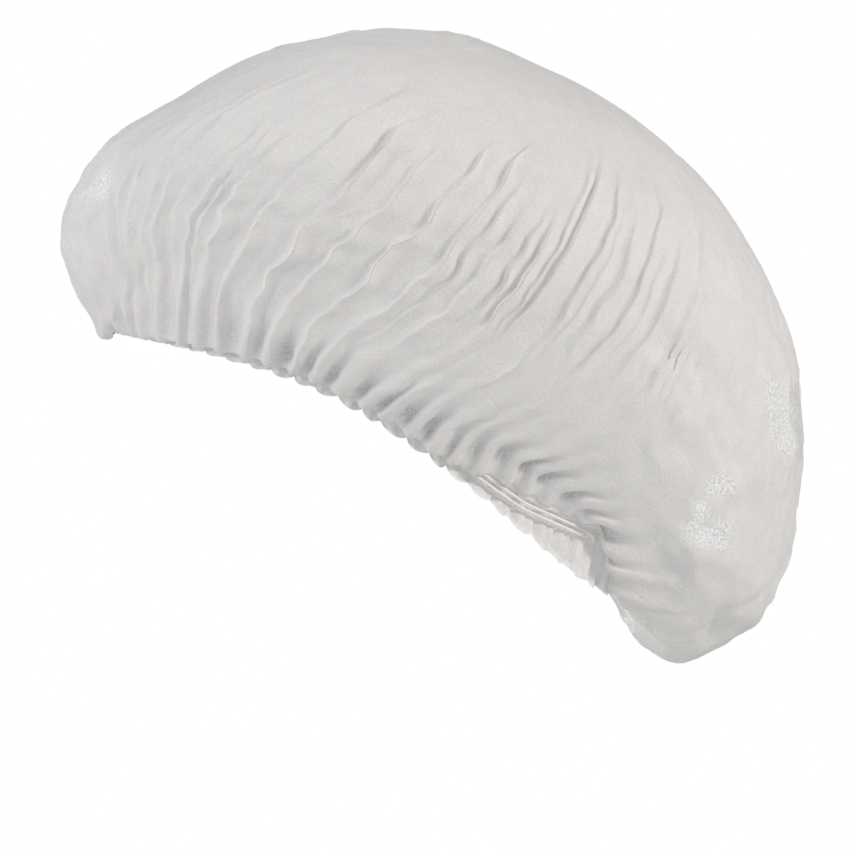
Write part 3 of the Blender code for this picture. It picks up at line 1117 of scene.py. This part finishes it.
    def ruffle_flutes(self, rows: np.ndarray, turns: np.ndarray) -> tuple[np.ndarray, np.ndarray]:
        """The ruffle's round lobes with their curled edge, and the channel's fine gathers.

        Args:
            rows: Places up the cloth.
            turns: Places round the cap.

        Returns:
            Distances outwards and down.
        """
        number, inside = self.gather()
        phase = number + inside
        width = self.form.ruffle_width(turns) / self.form.ruffle_at_nape
        lobe_height = np.interp(width, (0, 1), self.lobe_heights)
        flute_height = np.interp(width, (0, 1), self.flute_heights)
        scallop = np.interp(width, (0, 1), self.scallop_depths)
        loose = np.clip(1 - rows / 2, 0, 1)
        reach = self.ruffle_to.at(rows) * (self.ruffle_held + (1 - self.ruffle_held) * loose)
        size = self.ruffle_wave * self.drawn(Draw.LOBE_HEIGHT)[number]
        lobe = 1 - np.abs(2 * inside) ** self.lobe_roundness
        flute = flute_height * np.cos(FULL_TURN * (2 * phase + self.drawn(Draw.FLUTE_SHIFT)[number]))
        lift = reach * size * lobe_height * (lobe - self.lobe_middle + flute) + self.lip.at(rows)
        drop = loose**1.5 * scallop * (lobe - 0.5)
        stray = self.fine_stray.at(self.noise, turns, rows)
        in_channel = np.exp(-(((rows - self.channel_middle) / self.channel_reach) ** 2))
        return lift + in_channel * np.cos(FULL_TURN * (3 * phase + stray)) * self.fine_gather, drop

    def crumples(self, smooth: np.ndarray, height: np.ndarray) -> np.ndarray:
        """The crumples of the puffs at the brow and the nape, and the slight ones of the side.

        Args:
            smooth: The grid of points of the smooth surface.
            height: Sections up the crown, below 0 in the hem.

        Returns:
            Distances outwards.
        """
        forward, up = smooth[..., 1], smooth[..., 2]
        puffed = np.maximum(self.brow_puff.at(-forward), self.top_puff.at(up))
        puffed = np.maximum(puffed, self.nape_puff.at(forward) * self.nape_puff_top.at(up))
        soft = self.noise.at(smooth + 0.3, 1.6 * self.crumple_size)
        facets = self.facets(smooth)
        total = puffed * facets + (1 - puffed) * (self.soft_share * soft + self.facet_share * facets)
        return self.crumple_height * total * self.crumples_from.at(height)

    def sheer(self, smooth: np.ndarray) -> np.ndarray:
        """How far each point lies in a facet that is seen through, with more round it on the far side.

        Args:
            smooth: The grid of points of the smooth surface.

        Returns:
            Shares from 0 to 1.
        """
        side = smooth[..., 1:] * (1 + smooth[..., :1] / self.sheer_lined_up)
        ragged = self.sheer_ragged * self.noise.at(smooth + 0.7, self.sheer_ragged_size)
        total = np.zeros(smooth.shape[:-1])
        for facet in self.sheer_facets:
            corners = np.array(facet).reshape(3, 2)
            ahead = np.roll(corners, -1, axis=0) - corners
            turn = np.sign(ahead[0, 0] * ahead[1, 1] - ahead[0, 1] * ahead[1, 0])
            within = np.full(smooth.shape[:-1], 1.0)
            for corner, edge in zip(corners, ahead):
                off = side - corner
                away = turn * (edge[0] * off[..., 1] - edge[1] * off[..., 0]) / np.linalg.norm(edge)
                within = np.minimum(within, away)
            within = within + ragged + np.where(smooth[..., 0] < 0, self.sheer_beyond, 0.0)
            total = np.maximum(total, smooth_step(within / self.sheer_border + 0.5))
        aside = np.abs(smooth[..., 0]) + 3 * ragged - self.sheer_from
        return total * smooth_step(aside / (4 * self.sheer_border) + 0.5)

    def facets(self, points: np.ndarray) -> np.ndarray:
        """Flat facets of three sizes with straight creases between, bent a little and stronger in patches.

        Args:
            points: The grid of points of the smooth surface.

        Returns:
            Depths between about -1 and 1.
        """
        bend = self.noise.at(points, 1.8 * self.crumple_size) * self.facet_bend * self.crumple_size
        turned = points @ FACET_TURN + 1.0 + bend[..., None] * FACET_BEND
        patch = np.clip(0.9 + 0.8 * self.noise.at(points + 0.5, 1.6 * self.crumple_size), *self.facet_patches)
        total = np.zeros(points.shape[:-1])
        for share in self.facet_sizes:
            total += share * self.noise.faceted(turned + share, self.crumple_size * share)
        return total * patch

    def join(
        self, grid: np.ndarray, smooth: np.ndarray, places: np.ndarray, marks: np.ndarray
    ) -> tuple[np.ndarray, list[tuple[int, ...]], np.ndarray, np.ndarray]:
        """Join the grid's rows into faces, with fewer columns near the top, and chart the flat sheet.

        Args:
            grid: The folded points, row by row.
            smooth: The smooth surface's points, whose spacing gives the flat sheet's.
            places: The rows' places up the cloth.
            marks: How much painted shade the hollows get, and how sheer the cloth is, at each of the grid's
                points.

        Returns:
            The points, the faces, each point's place on the flat round sheet, from 0 to 1 both ways, and each
            point's marks.
        """
        steps = np.linalg.norm(np.diff(smooth, axis=0), axis=-1).mean(axis=1)
        from_edge = np.concatenate([[0.0], np.cumsum(steps)])
        apex = np.array([0.0, self.form.apex_y * self.form.length, self.form.apex_z * self.form.height])
        apex = apex + (grid[-1].mean(axis=0) - smooth[-1].mean(axis=0))
        total = from_edge[-1] + float(np.linalg.norm(smooth[-1] - apex, axis=-1).mean())
        radius = 0.5 * (1 - from_edge / total)
        points, chart, faces, starts, counts, kept = [], [], [], [], [], []
        made = 0
        for row, place in enumerate(places):
            level = sum(place - (self.form.hem_rows - 1) > mark for mark in self.halved_at)
            step = 2**level
            ring = grid[row, ::step]
            angle = FULL_TURN * self.along()[::step]
            points.append(ring)
            kept.append(marks[row, ::step])
            chart.append(0.5 + radius[row] * np.stack([np.cos(angle), np.sin(angle)], axis=-1))
            starts.append(made)
            counts.append(len(ring))
            made += len(ring)
        for low, low_count, high, high_count in zip(starts, counts, starts[1:], counts[1:]):
            faces += self.band(low, low_count, high, high_count)
        points.append(apex[None, :])
        kept.append(np.zeros((1, 2)))
        chart.append(np.array([[0.5, 0.5]]))
        for number in range(counts[-1]):
            faces.append((starts[-1] + number, starts[-1] + (number + 1) % counts[-1], made))
        return np.concatenate(points), faces, np.concatenate(chart), np.concatenate(kept)

    def band(self, low: int, low_count: int, high: int, high_count: int) -> list[tuple[int, ...]]:
        """The faces between two rings of points, where the upper one has as many points or half as many.

        Args:
            low: Number of the lower ring's first point.
            low_count: Its count of points.
            high: Number of the upper ring's first point.
            high_count: Its count of points.

        Returns:
            The faces.
        """
        faces: list[tuple[int, ...]] = []
        for number in range(high_count):
            after = (number + 1) % high_count
            if low_count == high_count:
                faces.append((low + number, low + after, high + after, high + number))
                continue
            left, middle, right = low + 2 * number, low + 2 * number + 1, low + (2 * number + 2) % low_count
            faces.append((left, middle, high + number))
            faces.append((middle, high + after, high + number))
            faces.append((middle, right, high + after))
        return faces


@dataclass
class ElasticThread:
    """One loop of covered elastic thread in the gathered channel, with the ribs of its winding."""

    form: CapForm
    node: Node
    side: int
    diameter: float = 1.0 * MILLIMETRE
    spacing: float = 1.8 * MILLIMETRE
    clearance: float = 0.3 * MILLIMETRE
    channel_gather: float = 0.6 * MILLIMETRE
    twist_places: tuple[float, ...] = (0.385, 0.615)
    twist_share: float = 0.03
    rib_pitch: float = 0.9 * MILLIMETRE
    rib_height: float = 0.09
    gather_room: float = 1.25
    rings: int = 2880
    sides: int = 10

    def line(self, around: np.ndarray) -> np.ndarray:
        """The thread's middle line, which twists once round the other thread's by each ear.

        Args:
            around: Places round the cap.

        Returns:
            Points on the line.
        """
        turn = sum(smooth_step((around - middle) / self.twist_share + 0.5) for middle in self.twist_places)
        angle = FULL_TURN * turn
        half = self.spacing / 2
        seat = self.channel_gather * self.gather_room + self.clearance + self.diameter / 2
        up = self.side * half * np.cos(angle)
        out = seat + half * (np.abs(np.sin(angle)) + self.side * np.sin(angle))
        return self.form.hem_points(around, up, out)

    def build(self, finish: bpy.types.Material) -> bpy.types.Object:
        """Build the thread's mesh and dress it.

        Args:
            finish: The thread's material.

        Returns:
            The thread.
        """
        around = np.arange(self.rings) / self.rings
        line = self.line(around)
        ahead = unit(np.roll(line, -1, axis=0) - np.roll(line, 1, axis=0))
        up = np.array([0.0, math.sin(self.form.ring_tilt), math.cos(self.form.ring_tilt)])
        out = unit(np.cross(ahead, up))
        over = np.cross(out, ahead)
        step = np.linalg.norm(np.roll(line, -1, axis=0) - line, axis=-1)
        walked = np.concatenate([[0.0], np.cumsum(step)[:-1]])
        turns = round(float(step.sum()) / self.rib_pitch)
        winding = FULL_TURN * turns * walked / float(step.sum())
        angle = FULL_TURN * np.arange(self.sides) / self.sides
        rib = 1 + self.rib_height * (np.cos(winding[:, None] + angle[None, :]) - 1)
        radius = self.diameter / 2 * rib
        points = line[:, None, :] + radius[..., None] * (
            np.cos(angle)[None, :, None] * out[:, None, :] + np.sin(angle)[None, :, None] * over[:, None, :]
        )
        faces = []
        for ring in range(self.rings):
            low, high = ring * self.sides, (ring + 1) % self.rings * self.sides
            for number in range(self.sides):
                after = (number + 1) % self.sides
                faces.append((low + number, low + after, high + after, high + number))
        mesh = bpy.data.meshes.new("covered_" + self.node.value)
        mesh.from_pydata(points.reshape(-1, 3).tolist(), [], faces)
        mesh.shade_smooth()
        mesh.materials.append(finish)
        thread = bpy.data.objects.new("covered_" + self.node.value, mesh)
        bpy.context.scene.collection.objects.link(thread)
        return thread


@dataclass(frozen=True)
class PaperSweep:
    """Matt white paper, as a photographer's backdrop is, which gives a pale floor with soft shadows."""

    white: str = "#F2F2F0"
    roughness: float = 0.9
    # Paper grain is finer than this, and is drawn 3 mm wide so that it shows
    grain_size: float = 3 * MILLIMETRE
    grain_height: float = MILLIMETRE
    bump_strength: float = 0.08

    def material(self) -> bpy.types.Material:
        """Make the paper's material.

        Returns:
            The material.
        """
        material = bpy.data.materials.new("paper_sweep")
        material.use_nodes = True
        tree = material.node_tree
        shader = tree.nodes["Principled BSDF"]
        place = add_node(tree, "ShaderNodeTexCoord").outputs["Object"]
        parts = {"Vector": place, "Scale": 1 / self.grain_size, "Detail": 3.0}
        grain = add_node(tree, "ShaderNodeTexNoise", inputs=parts)
        parts = {"Strength": self.bump_strength, "Distance": self.grain_height, "Height": grain}
        bump = add_node(tree, "ShaderNodeBump", inputs=parts)
        shader.inputs["Base Color"].default_value = linear_colour(self.white)
        shader.inputs["Roughness"].default_value = self.roughness
        tree.links.new(bump.outputs["Normal"], shader.inputs["Normal"])
        return material


@dataclass(frozen=True)
class Softbox:
    """A square soft light: its name, where it hangs, its side, its power in watts and its colour."""

    name: str
    place: tuple[float, float, float]
    size: float
    power: float
    colour: str

    def hang(self, aim: Vector) -> None:
        """Hang the light so that it faces the cap.

        Args:
            aim: The place that it faces.
        """
        data = bpy.data.lights.new(self.name, "AREA")
        data.size = self.size
        data.energy = self.power
        data.color = linear_colour(self.colour)[:3]
        light = bpy.data.objects.new(self.name, data)
        light.location = self.place
        light.rotation_euler = (aim - Vector(self.place)).to_track_quat("-Z", "Y").to_euler()
        bpy.context.scene.collection.objects.link(light)


@dataclass(frozen=True)
class Studio:
    """The pale floor, the soft lights and the camera."""

    floor_drop: float = 0.60
    floor_half: float = 1.6
    camera_distance: float = 2.60
    camera_elevation: float = math.radians(0.3)
    camera_lens: float = 352.0
    aim: tuple[float, float, float] = (0.0, 0.0124, 0.0047)
    backdrop: str = "#FFFFFF"
    ambient: str = "#F3F3F5"
    ambient_strength: float = 0.25
    softboxes: tuple[Softbox, ...] = (
        Softbox("nape_softbox", (0.80, 1.15, 0.65), 0.35, 12.8, "#FFFAF4"),
        Softbox("brow_softbox", (0.45, -1.25, 0.60), 0.60, 9.6, "#FFFCF9"),
        Softbox("front_softbox", (1.50, -0.60, -0.15), 0.80, 2.3, "#FFFCF9"),
    )

    def build(self) -> None:
        """Put up the floor, the surroundings, the lights and the camera."""
        self.lay_floor()
        self.light_surroundings()
        for softbox in self.softboxes:
            softbox.hang(Vector(self.aim))
        self.place_camera()

    def lay_floor(self) -> None:
        """Lay the pale paper floor well below the cap, which is held up as a head holds it."""
        half, low = self.floor_half, -self.floor_drop
        corners = [(-half, -half, low), (half, -half, low), (half, half, low), (-half, half, low)]
        mesh = bpy.data.meshes.new("studio_floor")
        mesh.from_pydata(corners, [], [(0, 1, 2, 3)])
        mesh.materials.append(PaperSweep().material())
        floor = bpy.data.objects.new("studio_floor", mesh)
        bpy.context.scene.collection.objects.link(floor)

    def light_surroundings(self) -> None:
        """Surround the cap with even light, and with a white backdrop where the camera sees past it."""
        world = bpy.data.worlds.new("studio")
        world.use_nodes = True
        bpy.context.scene.world = world
        tree = world.node_tree
        tree.nodes.clear()
        parts = {"Color": linear_colour(self.ambient), "Strength": self.ambient_strength}
        even = add_node(tree, "ShaderNodeBackground", inputs=parts)
        parts = {"Color": linear_colour(self.backdrop), "Strength": 1.0}
        white = add_node(tree, "ShaderNodeBackground", inputs=parts)
        seen = add_node(tree, "ShaderNodeLightPath").outputs["Is Camera Ray"]
        both = add_node(tree, "ShaderNodeMixShader", inputs={"Fac": seen, 1: even, 2: white})
        add_node(tree, "ShaderNodeOutputWorld", inputs={"Surface": both})

    def place_camera(self) -> None:
        """Place the camera at the wearer's left, a little above, with a long lens."""
        data = bpy.data.cameras.new("camera")
        data.lens = self.camera_lens
        camera = bpy.data.objects.new("camera", data)
        back = Vector((math.cos(self.camera_elevation), 0.0, math.sin(self.camera_elevation)))
        camera.location = Vector(self.aim) + back * self.camera_distance
        camera.rotation_euler = (-back).to_track_quat("-Z", "Y").to_euler()
        bpy.context.scene.collection.objects.link(camera)
        bpy.context.scene.camera = camera
        bpy.context.scene.view_settings.view_transform = "Standard"


def report(piece: bpy.types.Object) -> None:
    """Say how large a finished piece is."""
    size = ", ".join(f"{side * 1000:.1f}" for side in piece.dimensions)
    LOG.info("%s: %d points, %s mm", piece.name, len(piece.data.vertices), size)


def main() -> None:
    """Build the cap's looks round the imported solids."""
    logging.basicConfig(level=logging.INFO, format="%(name)s: %(message)s")
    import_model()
    form = CapForm()
    cloth = GatheredCloth(form, SpunbondPolypropylene()).build()
    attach(cloth, "root")
    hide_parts(Node.CLOTH.value)
    report(cloth)
    elastic = CoveredElastic().material()
    for node, side in ((Node.UPPER_THREAD, 1), (Node.LOWER_THREAD, -1)):
        thread = ElasticThread(form, node, side).build(elastic)
        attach(thread, "root")
        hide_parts(node.value)
        report(thread)
    Studio().build()


if __name__ == "__main__":
    main()
